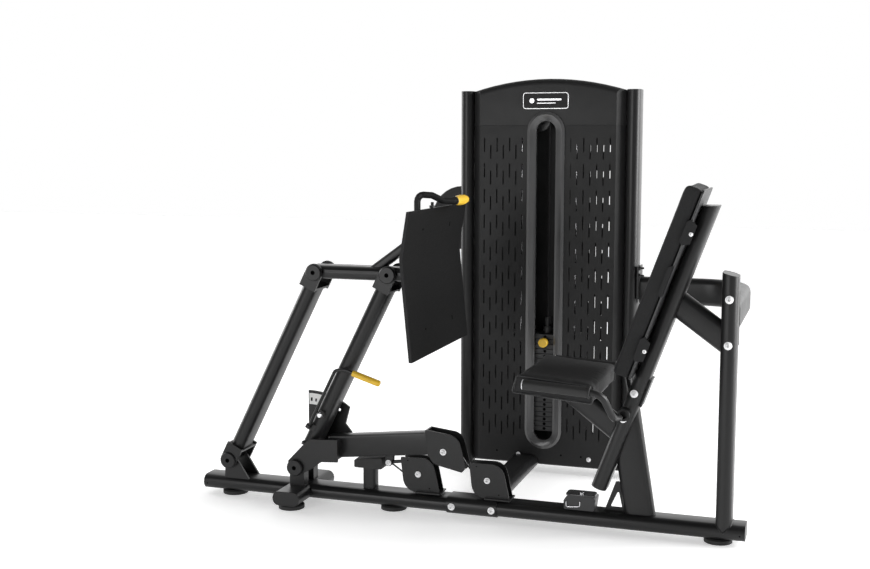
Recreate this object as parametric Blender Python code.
"""Seated leg press machine with a weight stack, built from separate parts.

Metres, +Z up, +X towards the backrest end, +Y towards the weight tower. Parts are
drawn about the middle of the base rail; the machine empty then moves them all so
that the origin lies on the floor under the middle of the machine.
"""

from math import atan2, cos, pi, radians, sin, tan

import bmesh
import bpy
from mathutils import Matrix, Vector

X, Y, Z = Vector((1, 0, 0)), Vector((0, 1, 0)), Vector((0, 0, 1))

# Stock: every structural tube is the same flat oval.
TUBE_WIDE, TUBE_THICK, TUBE_CORNER, TUBE_WALL = 0.100, 0.050, 0.0235, 0.003
GAP = 0.0003            # between parts that touch
PLATE = 0.008           # pivot and bracket plate

# Base rail, along X at y = 0.
RAIL_HALF = 0.950
PAD_HIGH = 0.017
RAIL_Z = PAD_HIGH + TUBE_THICK / 2
RAIL_TOP = PAD_HIGH + TUBE_THICK

# Four-bar linkage: two equal swing links hold the coupler level.
LINK_LONG = 0.7656
LINK_LEAN = radians(26.5)       # from upright, tops towards the seat
PIVOT_Z = 0.133
FRONT_PIVOT = Vector((-0.576, 0, PIVOT_Z))
PIVOT_SPACING = 0.268
REAR_PIVOT = FRONT_PIVOT - PIVOT_SPACING * X
LINK_WAY = Vector((sin(LINK_LEAN), 0, cos(LINK_LEAN)))
LINK_ACROSS = Vector((cos(LINK_LEAN), 0, -sin(LINK_LEAN)))
FRONT_TOP = FRONT_PIVOT + LINK_LONG * LINK_WAY
REAR_TOP = REAR_PIVOT + LINK_LONG * LINK_WAY
PIN_R = 0.010
BOSS_R = 0.029                  # pivot covers and rounded cheek ends

# Widths across Y at the pivots.
CHEEK_IN = 0.0525               # inside of a link's clevis cheeks
CHEEK_OUT = CHEEK_IN + PLATE
FORK_IN = 0.0610                # inside of the lever's side plates
FORK_OUT = FORK_IN + PLATE
POST_IN, POST_OUT = 0.0220, 0.0600
WEB_IN = 0.048                  # from a pivot to its clevis's web

# Lever arm: its beam rises a little towards the cable pulley.
BEAM_LEAN = radians(6.4)
BEAM_HIGH, BEAM_WIDE = 0.078, 0.050
BEAM_WAY = Vector((cos(BEAM_LEAN), 0, sin(BEAM_LEAN)))
BEAM_UP = Vector((-sin(BEAM_LEAN), 0, cos(BEAM_LEAN)))
BEAM_START = FRONT_PIVOT + Vector((0.110, 0, 0.070))
BEAM_LONG = 0.362
WHEEL_R, WHEEL_WIDE = 0.044, 0.016
GUARD_IN, GUARD_OUT = 0.0255, 0.0295            # on the lever, outside its beam
BASE_GUARD_IN, BASE_GUARD_OUT = 0.0195, 0.0235  # on the rail
CABLE_R, CABLE_LINE_R = 0.003, 0.040        # cable, and the path of its middle round a wheel
LEVER_WHEEL = Vector((-0.047, 0, 0.221))
BASE_WHEEL_1 = Vector((-0.139, 0, 0.134))
BASE_WHEEL_2 = Vector((0.106, 0, 0.134))
LUG = Vector((-0.251, 0, 0.162))

BUMPER_X, BUMPER_LOW = -0.321, 0.140

# Range selector: holes on an arc about the lever shaft take the pull pin.
SECTOR_R, HOLE_ARC_R = 0.2475, 0.216
HOLE_STEP, HOLES_LOW, HOLES_HIGH = radians(4.5), 1, 4

# Foot plate: a wide sheet with a shallow crease.
FOOT_FACE = [(-0.062, 0.5715), (-0.0933, 0.8955), (-0.069, 1.046)]      # (x, z) from the bottom up
FOOT_HALF, FOOT_THICK, HANDLE_TUBE_R = 0.297, 0.011, 0.0108

GRIP_X, GRIP_Z = -0.017, 1.0675        # push handle grip

# Backrest line: the seat tube and the backrest tube share one straight axis.
BACK_LEAN = atan2(0.3627, 1)
BACK_WAY = Vector((sin(BACK_LEAN), 0, cos(BACK_LEAN)))
BACK_NORMAL = Vector((-cos(BACK_LEAN), 0, sin(BACK_LEAN)))      # towards the user
BACK_FOOT = Vector((0.484, 0, 0.148))
BACK_TOP_Z, SPLICE_Z = 1.067, 0.480
PAD_GAP = 0.007                 # between the tube and the backrest pad
BACK_PAD_THICK, BACK_PAD_HALF = 0.054, 0.130
BACK_PAD_LOW, BACK_PAD_HIGH = 0.513, 1.112

# Seat.
SEAT_LEAN = radians(4.7)
SEAT_FRONT, SEAT_LONG, SEAT_HALF = 0.235, 0.266, 0.198
SEAT_TOP_Z, SEAT_THICK = 0.539, 0.065
GRIP_Y, GRIP_R, HANDLE_R = 0.224, 0.017, 0.0115
CROSS_BAR, CROSS_BAR_R, CROSS_BAR_HALF = Vector((0.567, 0, 0.403)), 0.0200, 0.076

# Rear upright and the tube from it to the tower.
UPRIGHT_X, UPRIGHT_TOP = 0.882, 0.857
CROSS_Z, CROSS_Y, CROSS_BEND = 0.715, 0.655, 0.150

# Weight tower.
CONNECTOR_X = 0.0775
TOWER_X, TOWER_Y = 0.1515, 0.655
COLUMN_OFFSET, COLUMN_TOP = 0.3155, 1.451
PANEL_Y, PANEL_HALF, FACE_HALF, BEVEL = 0.600, 0.2885, 0.257, 0.028
SKIRT_BOTTOM, SEAM_Z = 0.037, 1.322
HEAD_END, HEAD_MID, HEAD_ROUND = 1.458, 1.493, 0.024
SHEET = 0.002
WINDOW_X, WINDOW_HALF, RIM_HALF = 0.148, 0.037, 0.071
WINDOW_LOW, WINDOW_HIGH = 0.129, 1.338
SLOT_ROWS, SLOT_PITCH, SLOT_FIRST = 12, 0.0962, 1.275
SLOT_LONG, SLOT_WIDE, SLOT_DROP = 0.051, 0.0045, 0.0265
SLOT_COLUMNS, COLUMN_PITCH = 7, 0.0245
BOX_FACES = ([0, 1, 2, 3], [7, 6, 5, 4], [0, 4, 5, 1], [1, 5, 6, 2], [2, 6, 7, 3], [3, 7, 4, 0])
LEFT_SLOTS, RIGHT_SLOTS = -0.090, 0.2405
REAR_PANEL_Y = 0.737

# Weight stack.
STACK_LOW, WEIGHT_PITCH, WEIGHTS, LIFTED = 0.160, 0.01875, 20, 2
WEIGHT_X_HALF, WEIGHT_Y_HALF, STACK_Y = 0.150, 0.045, 0.662
ROD_OFFSET, ROD_R, STEM_R = 0.105, 0.010, 0.011


# ---------------------------------------------------------------- materials


def surface(name, colour, roughness, metallic):
    """A Principled material of this name, made once."""
    found = bpy.data.materials.get(name)
    if found:
        return found
    made = bpy.data.materials.new(name)
    made.use_nodes = True
    shader = made.node_tree.nodes["Principled BSDF"]
    shader.inputs["Base Color"].default_value = (*colour, 1)
    shader.inputs["Roughness"].default_value = roughness
    shader.inputs["Metallic"].default_value = metallic
    made.diffuse_color = (*colour, 1)
    return made


def frame_paint():
    return surface("frame_paint", (0.020, 0.020, 0.021), 0.42, 0.0)


def panel_paint():
    return surface("panel_paint", (0.026, 0.026, 0.028), 0.50, 0.0)


def foot_plate_paint():
    return surface("foot_plate_paint", (0.014, 0.014, 0.015), 0.62, 0.0)


def gloss_plastic():
    return surface("gloss_plastic", (0.010, 0.010, 0.011), 0.18, 0.0)


def black_plastic():
    return surface("black_plastic", (0.018, 0.018, 0.019), 0.55, 0.0)


def black_rubber():
    return surface("black_rubber", (0.015, 0.015, 0.015), 0.80, 0.0)


def yellow_rubber():
    return surface("yellow_rubber", (0.78, 0.50, 0.03), 0.50, 0.0)


def upholstery():
    return surface("upholstery", (0.016, 0.016, 0.017), 0.60, 0.0)


def bright_steel():
    return surface("bright_steel", (0.60, 0.60, 0.62), 0.25, 1.0)


def weight_paint():
    return surface("weight_paint", (0.024, 0.024, 0.026), 0.55, 0.0)


def cable_jacket():
    return surface("cable_jacket", (0.012, 0.012, 0.012), 0.40, 0.0)


# ---------------------------------------------------------------- solids


def solid(name, points, faces):
    """A closed mesh object with its faces turned outwards."""
    mesh = bpy.data.meshes.new(name)
    mesh.from_pydata([tuple(p) for p in points], [], faces)
    work = bmesh.new()
    work.from_mesh(mesh)
    bmesh.ops.recalc_face_normals(work, faces=work.faces)
    work.to_mesh(mesh)
    work.free()
    made = bpy.data.objects.new(name, mesh)
    bpy.context.scene.collection.objects.link(made)
    return made


def combine(part, other, operation):
    """Applies a Boolean of the helper to the part, and removes the helper."""
    modifier = part.modifiers.new("shape", "BOOLEAN")
    modifier.operation = operation
    modifier.solver = "EXACT"
    modifier.object = other
    graph = bpy.context.evaluated_depsgraph_get()
    shaped = bpy.data.meshes.new_from_object(part.evaluated_get(graph))
    plain = part.data
    part.modifiers.clear()
    part.data = shaped
    bpy.data.meshes.remove(plain)
    bpy.data.objects.remove(other)
    return part


def cut(part, *others):
    for other in others:
        combine(part, other, "DIFFERENCE")
    return part


def fuse(part, *others):
    for other in others:
        combine(part, other, "UNION")
    return part


def rounded(outline, radius, steps=4):
    """A 2D outline with every corner (or each by its own radius) turned into an arc."""
    radii = radius if isinstance(radius, (list, tuple)) else [radius] * len(outline)
    points = []
    for i, corner in enumerate(outline):
        before, after = Vector(outline[i - 1]), Vector(outline[(i + 1) % len(outline)])
        corner = Vector(corner)
        if radii[i] <= 0:
            points.append(tuple(corner))
            continue
        to_before, to_after = (before - corner).normalized(), (after - corner).normalized()
        half = to_before.angle(to_after) / 2
        middle = corner + (to_before + to_after).normalized() * radii[i] / sin(half)
        start = corner + to_before * radii[i] / tan(half) - middle
        end = corner + to_after * radii[i] / tan(half) - middle
        turn = start.angle(end)
        for k in range(steps + 1):
            share = k / steps
            arm = (start * sin((1 - share) * turn) + end * sin(share * turn)) / sin(turn)
            points.append(tuple(middle + arm))
    return points


def oval(wide, high, corner, steps=4):
    """A rounded rectangle section about its middle."""
    a, b = wide / 2, high / 2
    return rounded([(-a, -b), (a, -b), (a, b), (-a, b)], corner, steps)


def circle(radius, count=24):
    return [(radius * cos(2 * pi * k / count), radius * sin(2 * pi * k / count)) for k in range(count)]


def arc(centre, radius, start, end, steps):
    """Points of a 2D arc, angles from the first axis."""
    return [
        (centre[0] + radius * cos(a), centre[1] + radius * sin(a))
        for a in (start + (end - start) * k / steps for k in range(steps + 1))
    ]


def prism(name, outline, origin, first, second, depth):
    """A 2D outline drawn on two axes at the origin, pushed through by the depth vector."""
    near = [origin + first * a + second * b for a, b in outline]
    far = [p + depth for p in near]
    count = len(outline)
    sides = [[k, (k + 1) % count, count + (k + 1) % count, count + k] for k in range(count)]
    caps = [list(range(count))[::-1], list(range(count, 2 * count))]
    return solid(name, near + far, sides + caps)


def plate_xz(name, outline, y_low, y_high):
    """An outline of (x, z) points as a plate between two heights in Y."""
    return prism(name, outline, Vector((0, y_low, 0)), X, Z, (y_high - y_low) * Y)


def box(name, low, high):
    low, high = Vector(low), Vector(high)
    size = high - low
    return prism(name, [(0, 0), (size.x, 0), (size.x, size.y), (0, size.y)], low, X, Y, size.z * Z)


def rod(name, start, end, radius, count=24):
    """A round bar between two points."""
    return sweep(name, [start, end], circle(radius, count))


def turned(name, profile, centre, axis, count=24):
    """A lathe shape: profile points are (radius, distance along the axis)."""
    axis = axis.normalized()
    side = axis.orthogonal().normalized()
    other = axis.cross(side)
    points, rings = [], []
    for radius, along in profile:
        ring = []
        for k in range(count if radius > 0 else 1):
            turn = 2 * pi * k / count
            points.append(centre + axis * along + (side * cos(turn) + other * sin(turn)) * radius)
            ring.append(len(points) - 1)
        rings.append(ring)
    faces = []
    closed = profile[0][0] > 0 and profile[-1][0] > 0
    pairs = list(zip(rings, rings[1:])) + ([(rings[-1], rings[0])] if closed else [])
    for low, high in pairs:
        for k in range(count):
            n = (k + 1) % count
            quad = [low[k % len(low)], low[n % len(low)], high[n % len(high)], high[k % len(high)]]
            faces.append([v for i, v in enumerate(quad) if v not in quad[:i]])
    return solid(name, points, faces)


def rounded_path(points, radius, steps=6):
    """A polyline with its inner corners turned into arcs."""
    path = [Vector(points[0])]
    for before, corner, after in zip(points, points[1:], points[2:]):
        before, corner, after = Vector(before), Vector(corner), Vector(after)
        to_before, to_after = (before - corner).normalized(), (after - corner).normalized()
        half = to_before.angle(to_after) / 2
        middle = corner + (to_before + to_after).normalized() * radius / sin(half)
        start = corner + to_before * radius / tan(half) - middle
        end = corner + to_after * radius / tan(half) - middle
        turn = start.angle(end)
        for k in range(steps + 1):
            share = k / steps
            path.append(middle + (start * sin((1 - share) * turn) + end * sin(share * turn)) / sin(turn))
    return path + [Vector(points[-1])]


def rings_of(path, section, side, start_face, end_face):
    """The section carried along the path, mitred at its corners."""
    ways = [(b - a).normalized() for a, b in zip(path, path[1:])]
    side = (side - side.dot(ways[0]) * ways[0]).normalized()
    rings = []
    for i, point in enumerate(path):
        way = ways[min(i, len(ways) - 1)]
        if 0 < i < len(ways):
            side = ways[i - 1].rotation_difference(way) @ side
        up = way.cross(side)
        if i == 0:
            face = start_face or way
        elif i == len(path) - 1:
            face = end_face or way
        else:
            face = ways[i - 1] + way
        ring = []
        for a, b in section:
            arm = side * a + up * b
            ring.append(point + arm - way * (arm.dot(face) / way.dot(face)))
        rings.append(ring)
    return rings


def sweep(name, path, section, side=None, bore=None, start_face=None, end_face=None):
    """A bar along a path, or a tube when it is given the section of its bore."""
    path = [Vector(p) for p in path]
    first = (path[1] - path[0]).normalized()
    side = side or first.orthogonal()
    count = len(section)
    outer = rings_of(path, section, side, start_face, end_face)
    points = [p for ring in outer for p in ring]
    faces = []
    for i in range(len(path) - 1):
        for k in range(count):
            n = (k + 1) % count
            faces.append([i * count + k, i * count + n, (i + 1) * count + n, (i + 1) * count + k])
    last = (len(path) - 1) * count
    if not bore:
        return solid(name, points, faces + [list(range(count))[::-1], list(range(last, last + count))])
    base = len(points)
    points += [p for ring in rings_of(path, bore, side, start_face, end_face) for p in ring]
    for i in range(len(path) - 1):
        for k in range(count):
            n = (k + 1) % count
            low, high = base + i * count, base + (i + 1) * count
            faces.append([low + n, low + k, high + k, high + n])
    for ring in (0, last):
        for k in range(count):
            n = (k + 1) % count
            faces.append([ring + k, ring + n, base + ring + n, base + ring + k])
    return solid(name, points, faces)


def oval_tube(name, path, side, wide=TUBE_WIDE, thick=TUBE_THICK, corner=TUBE_CORNER, **ends):
    """The stock flat oval tube: wide along the side vector."""
    wall = TUBE_WALL
    bore = oval(wide - 2 * wall, thick - 2 * wall, corner - wall)
    return sweep(name, path, oval(wide, thick, corner), side, bore, **ends)


def oval_bar(name, path, side, wide=TUBE_WIDE, thick=TUBE_THICK, grow=0.0):
    """A solid copy of the stock section, used as a cutter or a plug."""
    return sweep(name, path, oval(wide + 2 * grow, thick + 2 * grow, TUBE_CORNER + grow), side)


def end_cover(name, centre, way, side, wide=TUBE_WIDE, thick=TUBE_THICK, high=0.003):
    """The closed end of a tube: a cover let a little way into the bore."""
    section = oval(wide - TUBE_WALL, thick - TUBE_WALL, thick / 2 - TUBE_WALL)
    return sweep(name, [centre - way * high, centre], section, side)


def drill(centre, radius, half=0.2, axis=Y, count=24):
    """A cutter for a round hole through Y."""
    return rod("drill", centre - axis * half, centre + axis * half, radius, count)


def finish(part, paint, origin=None, smooth=radians(32)):
    """Gives the part its material, shading and origin."""
    part.data.materials.clear()
    part.data.materials.append(paint)
    for face in part.data.polygons:
        face.material_index = 0
    part.data.shade_smooth()
    part.data.set_sharp_from_angle(angle=smooth)
    corners = [Vector(c) for c in part.bound_box]
    origin = origin or sum(corners, Vector()) / 8
    part.data.transform(Matrix.Translation(-origin))
    part.location = origin
    return part


def on_plane(point, y):
    return Vector((point.x, y, point.z))


# ---------------------------------------------------------------- base


def cross_foot_bar(grow):
    """The space that the cross foot takes, for coping the rails to it."""
    reach = 0.25 * Y
    centre = Vector((FRONT_PIVOT.x, 0, RAIL_Z))
    return oval_bar("cope", [centre - reach, centre + reach], X, grow=grow)


def rail_space(grow):
    reach = (RAIL_HALF + 0.1) * X
    centre = Vector((0, 0, RAIL_Z))
    return oval_bar("cope", [centre - reach, centre + reach], Y, grow=grow)


def pedestal_cheek(y_low, y_high):
    """A trapezoid plate that stands on the rail and holds the rear lower pivot."""
    x, top = REAR_PIVOT.x, PIVOT_Z
    left = [(x - 0.024, RAIL_TOP - 0.004), (x + 0.072, RAIL_TOP - 0.004)]
    head = arc((x, top), 0.022, radians(25), radians(190), 8)
    return plate_xz("cheek", left + head, y_low, y_high)


def rail_nose():
    """The short rail ahead of the cross foot, with the rear link's pedestal welded on."""
    low = Vector((-RAIL_HALF, 0, RAIL_Z))
    high = Vector((FRONT_PIVOT.x, 0, RAIL_Z))
    part = oval_tube("rail_nose", [low, high], Y)
    cut(part, cross_foot_bar(GAP))
    fuse(part, end_cover("cover", low + 0.0035 * X, -X, Y))
    for sign in (-1, 1):
        near, far = sorted((sign * 0.034, sign * 0.042))
        fuse(part, pedestal_cheek(near, far))
    cut(part, drill(REAR_PIVOT, PIN_R + GAP, 0.07))
    return finish(part, frame_paint(), low)


def base_rail():
    """The main rail, from the cross foot to the rear upright, with the bumper post."""
    low = Vector((FRONT_PIVOT.x, 0, RAIL_Z))
    high = Vector((RAIL_HALF, 0, RAIL_Z))
    part = oval_tube("base_rail", [low, high], Y)
    cut(part, cross_foot_bar(GAP))
    fuse(part, end_cover("cover", high, X, Y))
    post_line = [(BUMPER_X, 0, RAIL_TOP - 0.0015), (BUMPER_X, 0, BUMPER_LOW)]
    fuse(part, sweep("post", post_line, oval(0.046, 0.046, 0.012, 3), X))
    return finish(part, frame_paint(), Vector((0, 0, RAIL_Z)))


def rail_sleeve():
    """The collar over the rail where the tower connector joins it."""
    inner = oval(TUBE_WIDE + 2 * GAP, TUBE_THICK + 2 * GAP, TUBE_CORNER + GAP)
    outer = oval(TUBE_WIDE + 0.008, TUBE_THICK + 0.008, TUBE_CORNER + 0.004)
    path = [(-0.030, 0, RAIL_Z), (0.145, 0, RAIL_Z)]
    return finish(sweep("rail_sleeve", path, outer, Y, inner), frame_paint())


def cross_foot():
    """The cross tube with the two posts that carry the lever shaft."""
    centre = Vector((FRONT_PIVOT.x, 0, RAIL_Z))
    reach = 0.153 * Y
    part = oval_tube("cross_foot", [centre - reach, centre + reach], X)
    for way in (-Y, Y):
        fuse(part, end_cover("cover", centre + way * (reach.y - 0.0005), way, X))
    cut(part, drill(centre - 0.025 * Z + 0.05 * Y, 0.004, 0.01, Z, 8))
    x = FRONT_PIVOT.x
    for sign in (-1, 1):
        near, far = sorted((sign * POST_IN, sign * POST_OUT))
        outline = [(x - 0.027, RAIL_TOP - 0.0015), (x + 0.027, RAIL_TOP - 0.0015)]
        outline += arc((x, PIVOT_Z), 0.027, 0, pi, 10)
        fuse(part, plate_xz("post", outline, near, far))
    cut(part, drill(FRONT_PIVOT, PIN_R + 0.002 + GAP, 0.07))
    return finish(part, frame_paint(), centre)


def foot_pad(name, x, y, radius=0.045, high=PAD_HIGH):
    """A round rubber foot under a tube."""
    profile = [(0, 0), (radius, 0), (radius, high - 0.005), (radius - 0.006, high - GAP), (0, high - GAP)]
    return finish(turned(name, profile, Vector((x, y, 0)), Z, 24), black_rubber(), Vector((x, y, 0)))


def bumper_pad():
    """The rubber block that the lever arm rests on."""
    corners = [(-0.051, 0), (0.051, 0), (0.051, 0.0388), (-0.051, 0.0388 - 0.102 * tan(BEAM_LEAN))]
    outline = rounded(corners, 0.004, 2)
    base = Vector((BUMPER_X, -0.028, BUMPER_LOW + GAP))
    return finish(prism("bumper_pad", outline, base, X, Z, 0.056 * Y), black_rubber())


# ---------------------------------------------------------------- cable wheels


def leaf(points, radii, centre):
    """A guard outline given about its wheel's centre, with a radius for each corner."""
    return rounded([(centre.x + a, centre.z + b) for a, b in points], radii, 6)


def axle_bar(centre, inside):
    """A wheel's axle between guards, thicker outside the wheel so that it keeps the middle."""
    half, out = WHEEL_WIDE / 2 + 0.0005, inside + 0.002
    profile = [(0, -out), (0.012, -out), (0.012, -half), (0.008, -half), (0.008, half), (0.012, half)]
    return turned("axle", profile + [(0.012, out), (0, out)], centre, Y, 16)


def base_guard(name, centre):
    """Two guard plates on a foot, with the axle that the wheel turns on."""
    low = RAIL_TOP + 0.0043 - centre.z
    points = [(-0.063, 0.056), (0.052, 0.058), (0.078, low), (-0.050, low)]
    outline = leaf(points, [0.004, 0.044, 0.004, 0.048], centre)
    foot_low = Vector((centre.x - 0.006, -0.036, RAIL_TOP + 0.0043))
    foot = box(name, foot_low, foot_low + Vector((0.088, 0.072, 0.005)))
    for sign in (-1, 1):
        near, far = sorted((sign * BASE_GUARD_IN, sign * BASE_GUARD_OUT))
        fuse(foot, plate_xz("guard", outline, near, far))
    fuse(foot, axle_bar(centre, BASE_GUARD_IN))
    return finish(foot, frame_paint(), centre)


def wheel(name, centre, radius=WHEEL_R):
    """A grooved cable wheel with a bore for its axle."""
    half, bore = WHEEL_WIDE / 2, 0.008 + GAP
    groove = CABLE_LINE_R - CABLE_R - 0.001
    profile = [(bore, -half), (radius, -half), (groove, -0.004)]
    profile += [(groove, 0.004), (radius, half), (bore, half)]
    return finish(turned(name, profile, centre, Y, 22), black_plastic(), centre)


# ---------------------------------------------------------------- linkage


def turned_pin(name, centre, half, radius=PIN_R, cover=0.007):
    """A pivot pin with a round cover at each end."""
    profile = [(0, -half - cover), (BOSS_R - 0.003, -half - cover), (BOSS_R, -half - cover + 0.003)]
    profile += [(BOSS_R, -half), (radius, -half), (radius, half), (BOSS_R, half)]
    profile += [(BOSS_R, half + cover - 0.003), (BOSS_R - 0.003, half + cover), (0, half + cover)]
    return finish(turned(name, profile, centre, Y, 20), frame_paint(), centre)


def clevis(pivot, way):
    """A U of plate: cheeks about a pivot, and a web that the link stands on."""
    across = Vector((way.z, 0, -way.x))
    half, web_in, web_out = 0.0305, WEB_IN, WEB_IN + PLATE
    outline = [(half, web_out + 0.005), (-half, web_out + 0.005)] + arc((0, 0), half, pi, 2 * pi, 10)
    part = prism("clevis", outline, on_plane(pivot, -CHEEK_OUT), across, way, 2 * CHEEK_OUT * Y)
    for low, high in ((-0.1, web_in), (web_out, 0.1)):
        space = [(-0.1, low), (0.1, low), (0.1, high), (-0.1, high)]
        cut(part, prism("space", space, on_plane(pivot, -CHEEK_IN), across, way, 2 * CHEEK_IN * Y))
    return part


def rear_link():
    """The rear swing link: tube, a clevis at each end, and the upper pin welded in."""
    start = REAR_PIVOT + LINK_WAY * (WEB_IN + PLATE - 0.001)
    end = REAR_TOP - LINK_WAY * (WEB_IN + PLATE - 0.001)
    part = oval_tube("rear_link", [start, end], Y)
    fuse(part, clevis(REAR_PIVOT, LINK_WAY), clevis(REAR_TOP, -LINK_WAY))
    cut(part, drill(REAR_PIVOT, PIN_R + GAP, 0.07), drill(start, 0.005, 0.03, LINK_WAY, 8))
    half = CHEEK_OUT + 0.0015
    profile = [(0, -half - 0.007), (BOSS_R - 0.003, -half - 0.007), (BOSS_R, -half - 0.004)]
    profile += [(BOSS_R, -CHEEK_OUT + 0.001), (PIN_R, -CHEEK_OUT + 0.001)]
    profile += [(PIN_R, CHEEK_OUT - 0.001), (BOSS_R, CHEEK_OUT - 0.001)]
    profile += [(BOSS_R, half + 0.004), (BOSS_R - 0.003, half + 0.007), (0, half + 0.007)]
    fuse(part, turned("pin", profile, REAR_TOP, Y, 20))
    return finish(part, frame_paint(), REAR_PIVOT)


def link_block(pivot, half, low, high, y_half):
    """A block square to the links, between two distances from a pivot."""
    outline = [(-half, low), (half, low), (half, high), (-half, high)]
    return prism("block", outline, on_plane(pivot, -y_half), LINK_ACROSS, LINK_WAY, 2 * y_half * Y)


def front_link():
    """The front swing link: tube, upper clevis, and a hub on the lever shaft."""
    start = FRONT_PIVOT + LINK_WAY * 0.085
    end = FRONT_TOP - LINK_WAY * (WEB_IN + PLATE - 0.001)
    part = oval_tube("front_link", [start, end], Y)
    fuse(part, clevis(FRONT_TOP, -LINK_WAY))
    neck = link_block(FRONT_PIVOT, 0.020, 0.0, 0.086, 0.018)
    shoe = link_block(FRONT_PIVOT, 0.0245, 0.078, 0.088, 0.049)
    hub = rod("hub", on_plane(FRONT_PIVOT, -0.0205), on_plane(FRONT_PIVOT, 0.0205), 0.026)
    fuse(part, shoe, neck, hub)
    pin_spot = FRONT_PIVOT + LINK_WAY * HOLE_ARC_R
    fuse(part, rod("boss", on_plane(pin_spot, -0.0625), on_plane(pin_spot, -0.048), 0.013, 20))
    ear_spot = release_pivot()
    ear_outline = [(-0.004, -0.011), (0.022, -0.011), (0.022, 0.011), (-0.004, 0.011)]
    ear = prism("ear", ear_outline, on_plane(ear_spot, -0.052), LINK_ACROSS, LINK_WAY, 0.022 * Y)
    fuse(part, ear)
    cut(part, drill(FRONT_PIVOT, PIN_R + 0.002 + GAP, 0.05), drill(FRONT_TOP, PIN_R + GAP, 0.07))
    cut(part, drill(pin_spot, 0.006 + GAP, 0.08, count=16))
    return finish(part, frame_paint(), FRONT_PIVOT)


def sector_outline():
    """The lever's far side plate, about the shaft: fork below, range sector above."""
    low, high = radians(52.4), radians(91.5)
    points = [(0.158, 0.030), (0.158, 0.108), (0.150, 0.118), (0.135, 0.136)]
    points += arc((0, 0), SECTOR_R, low, high, 10)
    points += [(-0.007, 0.100), (-0.029, 0.022)]
    points += arc((0, 0), 0.030, radians(170), radians(300), 6)
    points += [(0.060, -0.002), (0.096, 0.026)]
    return [(FRONT_PIVOT.x + a, FRONT_PIVOT.z + b) for a, b in points]


def fork_outline():
    """The lever's near side plate."""
    points = [(0.158, 0.030), (0.158, 0.109), (0.057, 0.103), (0.039, 0.092), (-0.028, 0.022)]
    points += arc((0, 0), 0.030, radians(170), radians(300), 6)
    points += [(0.060, -0.002), (0.096, 0.026)]
    return [(FRONT_PIVOT.x + a, FRONT_PIVOT.z + b) for a, b in points]


def lever_arm():
    """Side plate, beam, cable lug and the guarded end that holds the lever wheel."""
    path = [BEAM_START, BEAM_START + BEAM_WAY * BEAM_LONG]
    bore = oval(BEAM_HIGH - 0.006, BEAM_WIDE - 0.006, 0.004, 2)
    part = sweep("lever_arm", path, oval(BEAM_HIGH, BEAM_WIDE, 0.007, 2), BEAM_UP, bore)
    fuse(part, plate_xz("fork", fork_outline(), -FORK_OUT, -FORK_IN))
    # A cross block ties the beam to both side plates.
    block = [(0.112, 0.036), (0.154, 0.036), (0.154, 0.105), (0.112, 0.104)]
    block = [(FRONT_PIVOT.x + a, FRONT_PIVOT.z + b) for a, b in block]
    fuse(part, plate_xz("block", block, -FORK_IN - 0.001, FORK_IN - GAP))
    end = BEAM_START + BEAM_WAY * BEAM_LONG
    face = [(-0.044, -0.001), (0.048, -0.001), (0.048, 0.007), (-0.044, 0.007)]
    fuse(part, prism("end", face, on_plane(end, -0.028), BEAM_UP, BEAM_WAY, 0.056 * Y))
    points = [(-0.064, 0.072), (0.052, 0.058), (0.080, -0.050), (0.066, -0.066), (-0.046, -0.042)]
    outline = leaf(points, [0.003, 0.044, 0.004, 0.004, 0.040], LEVER_WHEEL)
    for sign in (-1, 1):
        near, far = sorted((sign * GUARD_IN, sign * GUARD_OUT))
        fuse(part, plate_xz("guard", outline, near, far))
    fuse(part, axle_bar(LEVER_WHEEL, GUARD_IN))
    lug = [(-0.013, 0.040), (0.015, 0.040), (0.013, -0.004)]
    lug += [(0.006, -0.012), (-0.006, -0.012), (-0.012, -0.004)]
    for sign in (-1, 1):
        near, far = sorted((sign * 0.006, sign * 0.012))
        fuse(part, prism("lug", lug, on_plane(LUG, near), X, Z, (far - near) * Y))
    cut(part, drill(FRONT_PIVOT, PIN_R + 0.002 + GAP, 0.09))
    return finish(part, frame_paint(), FRONT_PIVOT)


def sector_plate():
    part = plate_xz("sector_plate", sector_outline(), FORK_IN, FORK_OUT)
    cut(part, drill(FRONT_PIVOT, PIN_R + 0.002 + GAP, 0.09))
    for k in range(-HOLES_LOW, HOLES_HIGH + 1):
        angle = pi / 2 - LINK_LEAN + k * HOLE_STEP
        spot = FRONT_PIVOT + HOLE_ARC_R * Vector((cos(angle), 0, sin(angle)))
        cut(part, drill(spot, 0.0064, 0.09, count=12))
    return finish(part, frame_paint(), FRONT_PIVOT)


def coupler_bar():
    """The bar that the links carry, with the brace and flange behind the foot plate."""
    start, end = REAR_TOP - 0.020 * X, Vector((-0.065, 0, REAR_TOP.z))
    part = oval_tube("coupler_bar", [start, end], Y, wide=0.096, thick=0.046, corner=0.021)
    fuse(part, end_cover("cover", start + 0.0035 * X, -X, Y, 0.096, 0.046))
    flange = box("flange", (end.x - 0.050, -0.062, end.z - 0.045), (end.x, 0.062, end.z + 0.045))
    low, high = Vector((-0.300, 0, REAR_TOP.z + 0.012)), Vector((-0.060, 0, REAR_TOP.z + 0.186))
    brace = oval_tube("brace", [low, high], Y, wide=0.060, thick=0.030, corner=0.010)
    cut(brace, oval_bar("cope", [start, end + 0.1 * X], Y, 0.094, 0.044))
    fuse(part, flange, brace)
    cut(part, foot_sheet(0.10 - FOOT_THICK, 0.1, 0.10 + GAP))
    cut(part, drill(REAR_TOP, PIN_R + 0.0015, 0.07), drill(FRONT_TOP, PIN_R + GAP, 0.07))
    return finish(part, frame_paint(), FRONT_TOP)


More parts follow.
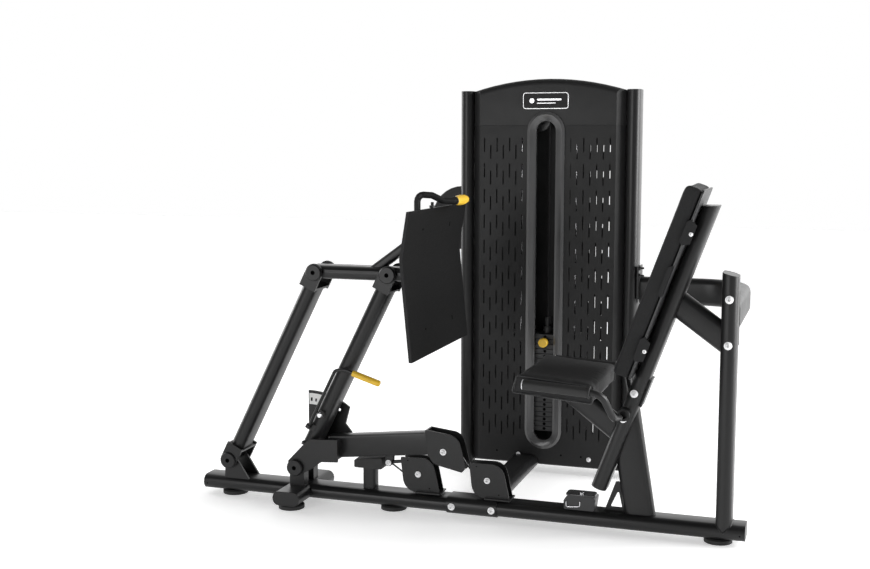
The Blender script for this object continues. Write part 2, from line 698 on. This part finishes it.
def foot_sheet(x_shift, half, thick):
    """The creased sheet, its face moved along X by the shift."""
    back = [(x - thick, z) for x, z in reversed(FOOT_FACE)]
    outline = [(x + x_shift, z) for x, z in FOOT_FACE + back]
    return prism("foot_plate", outline, Vector((0, -half, 0)), X, Z, 2 * half * Y)


def foot_plate():
    """The foot plate with the push handle's tube welded to its back."""
    part = foot_sheet(0, FOOT_HALF, FOOT_THICK)
    x, y = -0.103, -0.128
    corners = [(x, y, 0.956), (x, y, 1.093), (-0.068, -0.083, 1.0885), (-0.042, -0.048, 1.070)]
    corners += [(GRIP_X, -0.012, GRIP_Z), (GRIP_X, 0.040, GRIP_Z)]
    tube = sweep("handle", rounded_path(corners, 0.022, 4), circle(HANDLE_TUBE_R, 12), Y)
    mount = box("mount", (x - 0.004, y - 0.012, 0.962), (x + 0.016, y + 0.012, 1.030))
    fuse(part, mount, tube)
    return finish(part, foot_plate_paint(), Vector((FOOT_FACE[0][0], 0, FOOT_FACE[0][1])))


def push_handle_grip():
    """The yellow grip on the end of the push handle."""
    start = Vector((GRIP_X, 0.004, GRIP_Z))
    part = grip_shape("push_handle_grip", start, Y, 0.136, 0.0175, HANDLE_TUBE_R + GAP)
    return finish(part, yellow_rubber(), start)


def grip_shape(name, start, way, long, radius, bore, flange=0.0):
    """A rubber grip, closed at its far end, on a tube that enters from the start."""
    soft = 0.006
    lip = radius + flange
    profile = [(0, 0), (lip - 0.001, 0), (lip, 0.001), (lip, 0.005), (radius, 0.007), (radius, long - soft)]
    profile += [(radius - 0.0018, long - soft * 0.3), (radius - soft, long), (0, long)]
    part = turned(name, profile, start, way, 18)
    return cut(part, rod("bore", start - way * 0.01, start + way * (long - 0.008), bore, 18))


def release_pivot():
    """Where the release lever hinges, on the near side of the front link."""
    return FRONT_PIVOT + LINK_WAY * 0.154 - LINK_ACROSS * 0.022 - 0.062 * Y


def release_corners(foot):
    """The corners of the release lever's rod, from its foot to its grip."""
    top = foot + LINK_WAY * 0.228
    return [foot - LINK_WAY * 0.008, top, top + Vector((0.038, 0, 0.002)), top + Vector((0.103, 0, -0.0185))]


def release_lever():
    """The bent rod beside the link that draws the pull pin out."""
    foot = release_pivot()
    part = sweep("release_lever", rounded_path(release_corners(foot), 0.016, 4), circle(0.0058, 10), Y)
    fork = foot + LINK_WAY * (HOLE_ARC_R - 0.154)
    arm = rod("arm", fork, fork + LINK_ACROSS * 0.008, 0.0042, 10)
    eye = rod("eye", foot - LINK_ACROSS * 0.009, foot + LINK_ACROSS * 0.0042, 0.009, 16)
    return finish(fuse(part, arm, eye), frame_paint(), foot)


def release_grip():
    foot = release_pivot()
    bend, tip = release_corners(foot)[2:]
    way = (tip - bend).normalized()
    return finish(grip_shape("release_grip", bend + way * 0.028, way, 0.104, 0.0110, 0.0061), yellow_rubber())


def pull_pin():
    """The spring pin through the link, with its pull knob. Its tip stops just short of the sector plate."""
    spot = FRONT_PIVOT + LINK_WAY * HOLE_ARC_R
    profile = [(0, -0.080), (0.007, -0.080), (0.008, -0.078), (0.008, -0.0635), (0.006, -0.0635)]
    profile += [(0.006, FORK_IN - 0.0024), (0.005, FORK_IN - 0.0010), (0, FORK_IN - 0.0010)]
    return finish(turned("pull_pin", profile, spot, Y, 16), bright_steel(), spot)


def drive_cable():
    """The cable from the lever's lug round the base and lever wheels into the rail."""
    r = CABLE_LINE_R
    path = [LUG + Vector((0.003, 0, 0.000))]
    path += wheel_arc(BASE_WHEEL_1, r, radians(215), radians(345), 8)
    path += wheel_arc(LEVER_WHEEL, r, radians(165), radians(12), 10)
    path += wheel_arc(BASE_WHEEL_2, r, radians(192), radians(262), 5)
    path += [BASE_WHEEL_2 + Vector((0.004, 0, -0.046))]
    part = sweep("drive_cable", path, circle(CABLE_R, 8), Y)
    return finish(part, cable_jacket())


def wheel_arc(centre, radius, start, end, steps):
    return [Vector((x, 0, z)) for x, z in arc((centre.x, centre.z), radius, start, end, steps)]


# ---------------------------------------------------------------- seat and backrest


def back_axis(z):
    """The point of the backrest line at this height."""
    return BACK_FOOT + BACK_WAY * ((z - BACK_FOOT.z) / BACK_WAY.z)


def back_space(grow):
    low, high = BACK_FOOT - BACK_WAY * 0.1, back_axis(BACK_TOP_Z + 0.1)
    return oval_bar("cope", [low, high], Y, grow=grow)


def seat_frame():
    """Seat post, gusset and the lower half of the backrest line, as one weldment."""
    tube = oval_tube("seat_frame", [BACK_FOOT, back_axis(SPLICE_Z)], Y)
    fuse(tube, end_cover("cover", BACK_FOOT + BACK_WAY * 0.0035, -BACK_WAY, Y))
    lean = radians(9.3)
    way = Vector((-sin(lean), 0, cos(lean)))
    foot = Vector((0.615, 0, RAIL_TOP + GAP))
    post = oval_tube("post", [foot, foot + way * 0.36], Vector((way.z, 0, -way.x)), start_face=Z)
    cut(post, back_half())
    fuse(tube, post)
    outline = [(0.500, RAIL_TOP + GAP), (0.576, RAIL_TOP + GAP)]
    outline += [(0.561, 0.160), (0.543, 0.166), (0.535, 0.164)]
    gusset = plate_xz("gusset", outline, -0.004, 0.004)
    hole = plate_xz("hole", rounded([(0.519, 0.080), (0.558, 0.080), (0.545, 0.138)], 0.003, 2), -0.1, 0.1)
    fuse(tube, cut(gusset, hole))
    cut(tube, drill(CROSS_BAR, CROSS_BAR_R + GAP, 0.10))
    return finish(tube, frame_paint(), BACK_FOOT)


def back_half():
    """All the space ahead of the seat tube's rear face, less a weld's depth."""
    base = BACK_FOOT - BACK_NORMAL * (TUBE_THICK / 2 - 0.002)
    outline = [(-0.5, -0.5), (1.5, -0.5), (1.5, 0.5), (-0.5, 0.5)]
    return prism("half", [(a, b) for a, b in outline], base, BACK_WAY, Y, BACK_NORMAL * 0.6)


def backrest_tube():
    """The upper half of the backrest line, with its splice plate and pad brackets."""
    low, high = back_axis(SPLICE_Z) + BACK_WAY * GAP, back_axis(BACK_TOP_Z)
    part = oval_tube("backrest_tube", [low, high], Y, end_face=Z)
    cover = oval(TUBE_WIDE - 0.003, TUBE_THICK / BACK_WAY.z - 0.003, 0.022)
    fuse(part, sweep("cover", [high - 0.003 * Z, high], cover, Y))
    rear = -BACK_NORMAL * (TUBE_THICK / 2)
    splice = [(-0.050, -0.034), (0.045, -0.034), (0.045, 0.034), (-0.050, 0.034)]
    fuse(part, prism("splice", splice, low + rear - BACK_NORMAL * GAP, BACK_WAY, Y, -BACK_NORMAL * 0.006))
    weld = [(0.006, -0.030), (0.040, -0.030), (0.040, 0.030), (0.006, 0.030)]
    fuse(part, prism("weld", weld, low + rear + BACK_NORMAL * 0.001, BACK_WAY, Y, -BACK_NORMAL * 0.004))
    for z in (0.930, 0.600):
        spot = back_axis(z) + BACK_NORMAL * (TUBE_THICK / 2 - 0.001)
        outline = [(-0.026, -0.038), (0.026, -0.038), (0.026, 0.038), (-0.026, 0.038)]
        fuse(part, prism("bracket", outline, spot, BACK_WAY, Y, BACK_NORMAL * (PAD_GAP + 0.001)))
    return finish(part, frame_paint(), back_axis(SPLICE_Z))


def backrest_cushion():
    """The backrest pad, ahead of the backrest tube."""
    rear = TUBE_THICK / 2 + PAD_GAP + GAP
    low = back_axis(BACK_PAD_LOW) + BACK_NORMAL * rear
    long = (BACK_PAD_HIGH - BACK_PAD_LOW) / BACK_WAY.z
    corners = [(0, 0), (long, 0), (long, BACK_PAD_THICK), (0, BACK_PAD_THICK)]
    side = rounded(corners, [0.006, 0.008, 0.012, 0.010], 3)
    wide = 2 * BACK_PAD_HALF * Y
    part = prism("backrest_cushion", side, low - wide / 2, BACK_WAY, BACK_NORMAL, wide)
    return finish(part, upholstery(), low)


def seat_axes():
    """Along and up vectors of the tilted seat, and its front lower corner."""
    along = Vector((cos(SEAT_LEAN), 0, -sin(SEAT_LEAN)))
    up = Vector((sin(SEAT_LEAN), 0, cos(SEAT_LEAN)))
    corner = Vector((SEAT_FRONT, 0, SEAT_TOP_Z)) - up * SEAT_THICK
    return along, up, corner


def seat_cushion():
    along, up, corner = seat_axes()
    corners = [(0, 0), (SEAT_LONG, 0), (SEAT_LONG, SEAT_THICK), (0.010, SEAT_THICK)]
    side = rounded(corners, [0.006, 0.006, 0.010, 0.010], 3)
    part = prism("seat_cushion", side, corner - SEAT_HALF * Y, along, up, 2 * SEAT_HALF * Y)
    return finish(part, upholstery(), corner)


def seat_bracket():
    """The pan under the cushion and the diagonal brace down to the seat tube."""
    along, up, corner = seat_axes()
    pan_top = corner - up * GAP
    pan_outline = [(0.030, -0.006), (0.248, -0.006), (0.248, 0), (0.030, 0)]
    pan = prism("seat_bracket", pan_outline, pan_top - 0.150 * Y, along, up, 0.300 * Y)
    way = Vector((0.8, 0, -0.6))
    high = Vector((0.338, 0, 0.490))
    brace = oval_tube("brace", [high, high + way * 0.30], Vector((0.6, 0, 0.8)), wide=0.080, thick=0.050)
    cut(brace, back_space(GAP), front_of_back())
    above = [(-0.5, 0), (0.5, 0), (0.5, 0.5), (-0.5, 0.5)]
    cut(brace, prism("above", above, pan_top - up * 0.002 - 0.3 * Y, along, up, 0.6 * Y))
    return finish(fuse(pan, brace), frame_paint(), corner)


def front_of_back():
    """All the space behind the seat tube's front face."""
    base = BACK_FOOT + BACK_NORMAL * (TUBE_THICK / 2 - 0.004)
    outline = [(-0.5, -0.5), (1.5, -0.5), (1.5, 0.5), (-0.5, 0.5)]
    return prism("half", outline, base, BACK_WAY, Y, -BACK_NORMAL * 0.6)


def handle_line(sign):
    """The corner points of one side handle, from its grip's front to the cross bar."""
    return [
        Vector((0.284, sign * GRIP_Y, 0.512)),
        Vector((0.524, sign * GRIP_Y, 0.4985)),
        Vector((0.553, sign * 0.170, 0.412)),
        Vector((CROSS_BAR.x - 0.006, sign * (CROSS_BAR_HALF - 0.016), CROSS_BAR.z - 0.010)),
    ]





def seat_handles():
    """Both side handles, on a cross bar that passes through the seat tube."""
    reach = CROSS_BAR_HALF * Y
    bar = rod("seat_handles", CROSS_BAR - reach, CROSS_BAR + reach, CROSS_BAR_R, 20)
    for sign in (-1, 1):
        path = rounded_path(handle_line(sign), 0.045, 4)
        fuse(bar, sweep("handle", path, circle(HANDLE_R, 12), Z))
        end = CROSS_BAR + sign * reach
        cut(bar, rod("socket", end - sign * 0.012 * Y, end + sign * 0.02 * Y, 0.012, 16))
    return finish(bar, frame_paint(), CROSS_BAR)


def handle_grip(name, sign):
    """A rubber grip on a side handle, with a flange at its rear."""
    front, rear = handle_line(sign)[:2]
    way = (front - rear).normalized()
    start = rear + way * 0.034
    long = (front - start).length + 0.008
    return finish(grip_shape(name, start, way, long, GRIP_R, HANDLE_R + GAP, 0.0035), black_rubber(), start)


# ---------------------------------------------------------------- rear upright


def rear_upright():
    """The rear post and the brace that holds the backrest line."""
    low = Vector((UPRIGHT_X, 0, RAIL_Z + 0.004))
    high = Vector((UPRIGHT_X, 0, UPRIGHT_TOP))
    slope = Vector((sin(radians(14)), 0, cos(radians(14))))
    part = oval_tube("rear_upright", [low, high], Y, end_face=slope)
    cut(part, rail_space(GAP))
    inside = oval(TUBE_WIDE - 0.003, TUBE_THICK - 0.003, 0.022)
    line = [high - 0.004 * Z, high - 0.0005 * Z]
    cover = sweep("cover", line, inside, Y, None, start_face=slope, end_face=slope)
    fuse(part, cover)
    way = Vector((-cos(radians(36)), 0, sin(radians(36))))
    start = Vector((UPRIGHT_X - 0.020, 0, 0.656))
    side = Vector((way.z, 0, -way.x))
    brace = oval_tube("brace", [start, start + way * 0.25], side, wide=0.084, thick=0.050, start_face=X)
    cut(brace, back_space(GAP), ahead_of_back())
    fuse(part, brace)
    plate_low = Vector((UPRIGHT_X - 0.024, TUBE_WIDE / 2 - 0.001, 0.626))
    plate = box("plate", plate_low, plate_low + Vector((0.048, 0.006, 0.172)))
    fuse(part, plate)
    return finish(part, frame_paint(), low)


def ahead_of_back():
    """All the space ahead of the backrest tube's rear face."""
    base = BACK_FOOT - BACK_NORMAL * (TUBE_THICK / 2 - 0.004)
    outline = [(-0.5, -0.5), (1.5, -0.5), (1.5, 0.5), (-0.5, 0.5)]
    return prism("half", outline, base, BACK_WAY, Y, BACK_NORMAL * 0.6)


def crossover_tube():
    """The bent tube from the tower's column round to the rear upright."""
    start_x = TOWER_X + COLUMN_OFFSET + TUBE_THICK / 2 + 0.006 + GAP
    points = [(start_x, CROSS_Y, CROSS_Z), (UPRIGHT_X, CROSS_Y, CROSS_Z)]
    points += [(UPRIGHT_X, TUBE_WIDE / 2 + 0.011 + GAP, CROSS_Z)]
    part = oval_tube("crossover_tube", rounded_path(points, CROSS_BEND, 8), Z)
    near = TUBE_WIDE / 2 + 0.005 + GAP
    flange = box("flange", (UPRIGHT_X - 0.024, near, 0.626), (UPRIGHT_X + 0.024, near + 0.007, 0.798))
    clamp = box("clamp", (start_x - 0.006, CROSS_Y - 0.045, 0.684), (start_x + 0.001, CROSS_Y + 0.045, 0.805))
    fuse(part, flange, clamp)
    return finish(part, frame_paint())


def rail_clip():
    """A small block on the rail ahead of the seat post, with a clip on its top."""
    corners = [(0.372, 0), (0.470, 0), (0.476, 0.040), (0.466, 0.046), (0.384, 0.050), (0.370, 0.030)]
    outline = rounded(corners, 0.003, 2)
    part = prism("rail_clip", outline, Vector((0, -0.036, RAIL_TOP + GAP)), X, Z, 0.062 * Y)
    return finish(part, black_plastic())


# ---------------------------------------------------------------- tower


def tower_base():
    """The floor tube between the columns and the connector out to the rail."""
    half, wide = COLUMN_OFFSET - TUBE_THICK / 2 - GAP, 0.064
    centre = Vector((TOWER_X, TOWER_Y + 0.014, RAIL_Z))
    part = oval_tube("tower_base", [centre - half * X, centre + half * X], Y, wide=wide)
    start = Vector((CONNECTOR_X, TUBE_WIDE / 2 + 0.004 - 0.020, RAIL_Z))
    end = Vector((CONNECTOR_X, centre.y - 0.006, RAIL_Z))
    link = oval_tube("link", [start, end], X)
    cut(link, oval_bar("cope", [(-0.2, 0, RAIL_Z), (0.3, 0, RAIL_Z)], Y, grow=0.0043))
    cut(link, oval_bar("cope", [centre - half * X, centre + half * X], Y, wide=wide, grow=-0.0015))
    fuse(part, link)
    return finish(part, frame_paint(), centre)


def tower_column(name, sign):
    """A tower column, closed at its top."""
    foot = Vector((TOWER_X + sign * COLUMN_OFFSET, TOWER_Y, PAD_HIGH))
    top = foot + (COLUMN_TOP - PAD_HIGH) * Z
    part = oval_tube(name, [foot, top], Y)
    fuse(part, end_cover("cover", top, Z, Y))
    return finish(part, frame_paint(), foot)


def top_beam_bar(name, wall, grow=0.0):
    """The square bar between the column tops: a tube when it is given a wall."""
    half, z = COLUMN_OFFSET - TUBE_THICK / 2 - GAP, COLUMN_TOP - 0.030
    ends = [(TOWER_X + side * (half + grow), TOWER_Y + 0.005, z) for side in (-1, 1)]
    wide = 0.050 + 2 * grow
    bore = oval(wide - 2 * wall, wide - 2 * wall, 0.003, 2) if wall else None
    return sweep(name, ends, oval(wide, wide, 0.006, 2), Y, bore)


def tower_top_beam():
    """The beam between the column tops that carries the cable wheel."""
    z = COLUMN_TOP - 0.030
    part = top_beam_bar("tower_top_beam", TUBE_WALL)
    for sign in (-1, 1):
        near, far = sorted((sign * (WHEEL_WIDE / 2 + 0.003), sign * (WHEEL_WIDE / 2 + 0.007)))
        left, right, low, high = WINDOW_X - 0.085, WINDOW_X - 0.020, z - 0.095, z - 0.022
        outline = [(left, low), (right, low), (right, high), (left, high)]
        hanger = plate_xz("hanger", outline, STACK_Y + near, STACK_Y + far)
        fuse(part, hanger)
    centre = top_wheel_centre()
    fuse(part, rod("axle", on_plane(centre, STACK_Y - 0.016), on_plane(centre, STACK_Y + 0.016), 0.008, 16))
    return finish(part, frame_paint())


def top_wheel_centre():
    return Vector((WINDOW_X - CABLE_LINE_R, STACK_Y, COLUMN_TOP - 0.030 - 0.078))


def panel_section(face_y, depth):
    """Half widths of the shroud section: a flat face with a bevel to each column."""
    side_y = face_y + BEVEL
    out = [(-PANEL_HALF, side_y), (-FACE_HALF, face_y), (FACE_HALF, face_y), (PANEL_HALF, side_y)]
    return out + [(a, b + depth) for a, b in reversed(out)]


def shroud_sheet(name, face_y, low, high, flip=False):
    """A bevelled sheet across the tower between two heights."""
    section = panel_section(0.0, SHEET)
    if flip:
        section = [(a, -b) for a, b in section]
    return prism(name, section, Vector((TOWER_X, face_y, low)), X, Y, (high - low) * Z)


def slot_cutter(y):
    """One cutter that holds every slot of a shroud."""
    points, faces = [], []
    for first in (LEFT_SLOTS, RIGHT_SLOTS):
        for column in range(SLOT_COLUMNS):
            x = first + column * COLUMN_PITCH - SLOT_WIDE / 2
            drop = SLOT_DROP * (column % 2)
            for row in range(SLOT_ROWS):
                top = SLOT_FIRST - row * SLOT_PITCH - drop
                base = len(points)
                for dy in (-0.02, 0.02):
                    low, right = top - SLOT_LONG, x + SLOT_WIDE
                    points += [(x, y + dy, low), (right, y + dy, low), (right, y + dy, top), (x, y + dy, top)]
                faces += [[base + k for k in ring] for ring in BOX_FACES]
    return solid("slots", points, faces)


def window_outline(half):
    """A tall outline with half-round ends about the window's middle line."""
    low, high = WINDOW_LOW + WINDOW_HALF, WINDOW_HIGH - WINDOW_HALF
    return arc((WINDOW_X, low), half, pi, 2 * pi, 12) + arc((WINDOW_X, high), half, 0, pi, 12)


def front_shroud():
    """The slotted front sheet with the weight window."""
    part = shroud_sheet("front_shroud", PANEL_Y, SKIRT_BOTTOM, SEAM_Z)
    cut(part, slot_cutter(PANEL_Y))
    cut(part, plate_xz("window", window_outline(RIM_HALF - 0.010), PANEL_Y - 0.05, PANEL_Y + 0.05))
    cut(part, oval_bar("passage", [(CONNECTOR_X, 0.5, RAIL_Z), (CONNECTOR_X, 0.7, RAIL_Z)], X, grow=0.001))
    return finish(part, panel_paint(), Vector((TOWER_X, PANEL_Y, SKIRT_BOTTOM)))


def rear_shroud():
    """The plain sheet at the back of the tower."""
    part = shroud_sheet("rear_shroud", REAR_PANEL_Y, SKIRT_BOTTOM, HEAD_END - 0.020, flip=True)
    return finish(part, panel_paint(), Vector((TOWER_X, REAR_PANEL_Y, SKIRT_BOTTOM)))


def arch_block(inset, radius, low):
    """Everything under the head's arch, whose front edge rounds over."""
    reach = atan2(PANEL_HALF + 0.02, radius)
    stations = [(-0.1, HEAD_ROUND)]
    for k in range(6):
        turn = pi / 2 * k / 5
        stations.append((inset + HEAD_ROUND * (1 - cos(turn)), HEAD_ROUND * (1 - sin(turn))))
    stations.append((0.3, 0.0))
    points, faces = [], []
    for y, drop in stations:
        arch = arc((TOWER_X, HEAD_MID - radius), radius - inset - drop, pi / 2 - reach, pi / 2 + reach, 14)
        arch += [(arch[-1][0], low - 0.1), (arch[0][0], low - 0.1)]
        points += [(x, PANEL_Y + y, z) for x, z in arch]
    count = len(arch)
    for i in range(len(stations) - 1):
        for k in range(count):
            after = (k + 1) % count
            faces.append([i * count + k, i * count + after, (i + 1) * count + after, (i + 1) * count + k])
    faces += [list(range(count))[::-1], [len(points) - count + k for k in range(count)]]
    return solid("arch", points, faces)


def head_block(inset, low):
    """The head's outer shape, or its hollow when given an inset: bevelled plan under an arch."""
    rise, half = HEAD_MID - HEAD_END, FACE_HALF
    radius = (half * half + rise * rise) / (2 * rise)
    rear = 0.100 + (0.05 if inset else 0.0)
    face, side = FACE_HALF - inset * 0.4, PANEL_HALF - inset
    plan = [(-face, inset), (face, inset), (side, BEVEL + inset * 0.4), (side, rear), (-side, rear)]
    plan.append((-side, BEVEL + inset * 0.4))
    block = prism("head_cover", plan, Vector((TOWER_X, PANEL_Y, low)), X, Y, 0.4 * Z)
    return combine(block, arch_block(inset, radius, low), "INTERSECT")


def head_cover():
    """The arched cover at the top of the tower."""
    low = SEAM_Z + GAP
    part = head_block(0.0, low)
    cut(part, head_block(0.003, low - 0.05))
    cut(part, plate_xz("window", window_outline(RIM_HALF - 0.010), PANEL_Y - 0.05, PANEL_Y + 0.05))
    cut(part, top_beam_bar("notch", 0.0, 0.001))
    return finish(part, panel_paint(), Vector((TOWER_X, PANEL_Y, low)))


def window_rim():
    """The glossy raised rim round the weight window."""
    out, inner = RIM_HALF, WINDOW_HALF
    low = [(out, 0.0), (out, -0.006), (out - 0.010, -0.012), (inner + 0.010, -0.009)]
    low += [(inner, -0.003), (inner, 0.012), (inner + 0.003, 0.012), (inner + 0.003, 0.0)]
    ends = [(WINDOW_LOW + WINDOW_HALF, pi, 2 * pi), (WINDOW_HIGH - WINDOW_HALF, 0, pi)]
    points, count = [], len(low)
    stations = []
    for z, start, end in ends:
        for k in range(13):
            stations.append((z, start + (end - start) * k / 12))
    for z, angle in stations:
        for radius, depth in low:
            points.append((WINDOW_X + radius * cos(angle), PANEL_Y - GAP + depth, z + radius * sin(angle)))
    faces = []
    for i in range(len(stations)):
        j = (i + 1) % len(stations)
        for k in range(count):
            n = (k + 1) % count
            faces.append([i * count + k, i * count + n, j * count + n, j * count + k])
    part = solid("window_rim", points, faces)
    return finish(part, gloss_plastic(), Vector((WINDOW_X, PANEL_Y, WINDOW_LOW)))


def guide_rod(name, sign):
    x = WINDOW_X + sign * ROD_OFFSET
    low, high = Vector((x, STACK_Y, RAIL_TOP + GAP)), Vector((x, STACK_Y, COLUMN_TOP - 0.056))
    return finish(rod(name, low, high, ROD_R, 16), bright_steel(), low)


def weight_block(name, low, count):
    """A run of stacked weights: full slabs with a narrower step at each joint."""
    points, faces = [], []
    step = 0.0012
    levels = []
    for k in range(count):
        z = low + k * WEIGHT_PITCH
        levels += [(z, 0.003), (z + step, 0.0), (z + WEIGHT_PITCH - step, 0.0), (z + WEIGHT_PITCH, 0.003)]
    kept = []
    for level in levels:
        if kept and abs(kept[-1][0] - level[0]) < 1e-6:
            continue
        kept.append(level)
    a, b = WEIGHT_X_HALF, WEIGHT_Y_HALF
    section = [(-a, -b), (a, -b), (a, b), (-a, b)]
    for z, inset in kept:
        sx, sy = 1 - inset / WEIGHT_X_HALF, 1 - inset / WEIGHT_Y_HALF
        points += [(WINDOW_X + x * sx, STACK_Y + y * sy, z) for x, y in section]
    n = len(section)
    for i in range(len(kept) - 1):
        for k in range(n):
            after = (k + 1) % n
            faces.append([i * n + k, i * n + after, (i + 1) * n + after, (i + 1) * n + k])
    last = (len(kept) - 1) * n
    faces += [list(range(n))[::-1], list(range(last, last + n))]
    part = solid(name, points, faces)
    for sign in (-1, 1):
        cut(part, drill(Vector((WINDOW_X + sign * ROD_OFFSET, STACK_Y, low)), ROD_R + 0.001, 1.0, Z, 16))
    return part


def resting_plates():
    low = STACK_LOW
    part = weight_block("resting_plates", low, WEIGHTS - LIFTED)
    cut(part, drill(Vector((WINDOW_X, STACK_Y, low)), STEM_R + 0.001, 1.0, Z, 16))
    for sign in (-1, 1):
        spot = Vector((WINDOW_X + sign * ROD_OFFSET, STACK_Y, RAIL_TOP + GAP))
        bore, high = ROD_R + 0.003, low - RAIL_TOP + 0.001
        profile = [(bore, 0), (0.024, 0), (0.024, high), (bore, high)]
        fuse(part, turned("spring", profile, spot, Z, 16))
    return finish(part, weight_paint(), Vector((WINDOW_X, STACK_Y, low)))


def lifted_plates():
    """The top weight and those the pin picks up, with the selector stem."""
    low = STACK_LOW + (WEIGHTS - LIFTED) * WEIGHT_PITCH + GAP
    part = weight_block("lifted_plates", low, LIFTED)
    top = low + LIFTED * WEIGHT_PITCH
    stem = rod("stem", (WINDOW_X, STACK_Y, STACK_LOW + 0.010), (WINDOW_X, STACK_Y, top + 0.060), STEM_R, 16)
    cross = drill(Vector((WINDOW_X, STACK_Y - 0.05, pin_height())), 0.0052, 0.06, Y, 12)
    head = rod("head", (WINDOW_X, STACK_Y, top - 0.001), (WINDOW_X, STACK_Y, top + 0.026), 0.018, 16)
    fuse(part, stem, head)
    cut(part, cross)
    return finish(part, weight_paint(), Vector((WINDOW_X, STACK_Y, low)))


def pin_height():
    return STACK_LOW + (WEIGHTS - LIFTED + 0.5) * WEIGHT_PITCH + GAP


def selector_pin():
    """The yellow-headed pin that picks the weights."""
    face = Vector((WINDOW_X, STACK_Y - WEIGHT_Y_HALF, pin_height()))
    profile = [(0, -0.042), (0.014, -0.042), (0.0175, -0.038), (0.0175, -0.020), (0.012, -0.013)]
    profile += [(0.005, -0.012), (0.005, 0.050), (0.0035, 0.053), (0, 0.053)]
    return finish(turned("selector_pin", profile, face, Y, 18), yellow_rubber(), face)


def stack_cable():
    """The cable from the stack's stem up to the top wheel."""
    low = STACK_LOW + WEIGHTS * WEIGHT_PITCH + GAP + 0.060 + GAP
    part = rod("stack_cable", (WINDOW_X, STACK_Y, low), (WINDOW_X, STACK_Y, top_wheel_centre().z), CABLE_R, 8)
    return finish(part, cable_jacket(), Vector((WINDOW_X, STACK_Y, low)))


def side_pulley_guard():
    """The round guard that stands out beside the tower's left column."""
    centre = Vector((TOWER_X - COLUMN_OFFSET - 0.055, REAR_PANEL_Y + GAP, 0.963))
    profile = [(0, 0), (0.122, 0), (0.125, 0.003), (0.125, 0.017), (0.122, 0.020), (0, 0.020)]
    return finish(turned("side_pulley_guard", profile, centre, Y, 32), frame_paint(), centre)


# ---------------------------------------------------------------- assembly


def clear_scene():
    for obj in list(bpy.data.objects):
        bpy.data.objects.remove(obj)


def build_base():
    rail_nose()
    base_rail()
    rail_sleeve()
    cross_foot()
    foot_pad("foot_pad_front", -0.848, 0)
    foot_pad("foot_pad_middle", -0.236, 0)
    foot_pad("foot_pad_rear", 0.864, 0)
    foot_pad("foot_pad_cross_near", FRONT_PIVOT.x, -0.105)
    foot_pad("foot_pad_cross_far", FRONT_PIVOT.x, 0.105)
    bumper_pad()
    base_guard("base_guard_front", BASE_WHEEL_1)
    base_guard("base_guard_rear", BASE_WHEEL_2)
    wheel("base_wheel_front", BASE_WHEEL_1)
    wheel("base_wheel_rear", BASE_WHEEL_2)
    rail_clip()


def build_tower():
    tower_base()
    tower_column("tower_column_left", -1)
    tower_column("tower_column_right", 1)
    foot_pad("foot_pad_tower_left", TOWER_X - COLUMN_OFFSET, TOWER_Y, 0.024)
    foot_pad("foot_pad_tower_right", TOWER_X + COLUMN_OFFSET, TOWER_Y, 0.024)
    tower_top_beam()
    front_shroud()
    head_cover()
    window_rim()
    rear_shroud()
    guide_rod("guide_rod_left", -1)
    guide_rod("guide_rod_right", 1)
    wheel("top_wheel", top_wheel_centre())
    side_pulley_guard()
    resting_plates()
    lifted_plates()
    selector_pin()
    stack_cable()


def build_linkage():
    turned_pin("rear_lower_pin", REAR_PIVOT, CHEEK_OUT + GAP)
    turned_pin("lever_shaft", FRONT_PIVOT, FORK_OUT + GAP, PIN_R + 0.002, 0.014)
    turned_pin("front_upper_pin", FRONT_TOP, CHEEK_OUT + GAP)
    rear_link()
    front_link()
    lever_arm()
    sector_plate()
    wheel("lever_wheel", LEVER_WHEEL)
    coupler_bar()
    foot_plate()
    push_handle_grip()
    release_lever()
    release_grip()
    pull_pin()
    drive_cable()


def build_seat():
    seat_frame()
    seat_bracket()
    backrest_tube()
    seat_cushion()
    backrest_cushion()
    seat_handles()
    handle_grip("handle_grip_near", -1)
    handle_grip("handle_grip_far", 1)
    rear_upright()
    crossover_tube()


def centre_machine():
    """Moves everything so that the origin is on the floor under the machine's middle."""
    bpy.context.view_layer.update()
    parts = list(bpy.context.scene.objects)
    corners = [p.matrix_world @ Vector(c) for p in parts for c in p.bound_box]
    across = [c.x for c in corners]
    deep = [c.y for c in corners]
    middle = Vector(((min(across) + max(across)) / 2, (min(deep) + max(deep)) / 2, 0))
    machine = bpy.data.objects.new("machine", None)
    bpy.context.scene.collection.objects.link(machine)
    machine.location = -middle
    for part in parts:
        part.parent = machine


clear_scene()
build_base()
build_tower()
build_linkage()
build_seat()
centre_machine()
